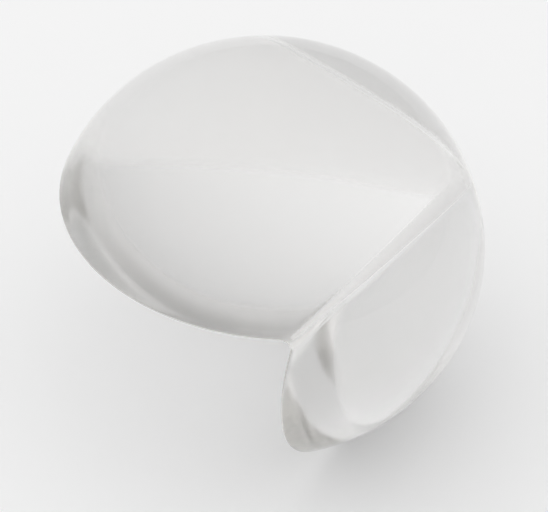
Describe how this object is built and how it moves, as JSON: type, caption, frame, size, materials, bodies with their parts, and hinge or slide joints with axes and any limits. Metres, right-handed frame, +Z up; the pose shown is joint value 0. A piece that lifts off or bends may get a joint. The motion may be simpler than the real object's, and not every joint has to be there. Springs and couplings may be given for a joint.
{
  "type": "furniture corner protector",
  "caption": "Ball-shaped clear soft plastic guard with a square corner recess that fits over a furniture corner.",
  "frame": {"origin": "on the upper flat face of the recess, on the ball's upright axis", "axes": "+Z up, out of the furniture's top; +X out of the furniture's one side, -Y out of its other side"},
  "size_m": [0.0425, 0.0425, 0.0369],
  "materials": {
    "clear_plastic": "clear, smooth and glossy soft plastic, faintly grey where it is thick"
  },
  "bodies": {
    "root": {"corner_guard": "clear_plastic"}
  },
  "joints": []
}
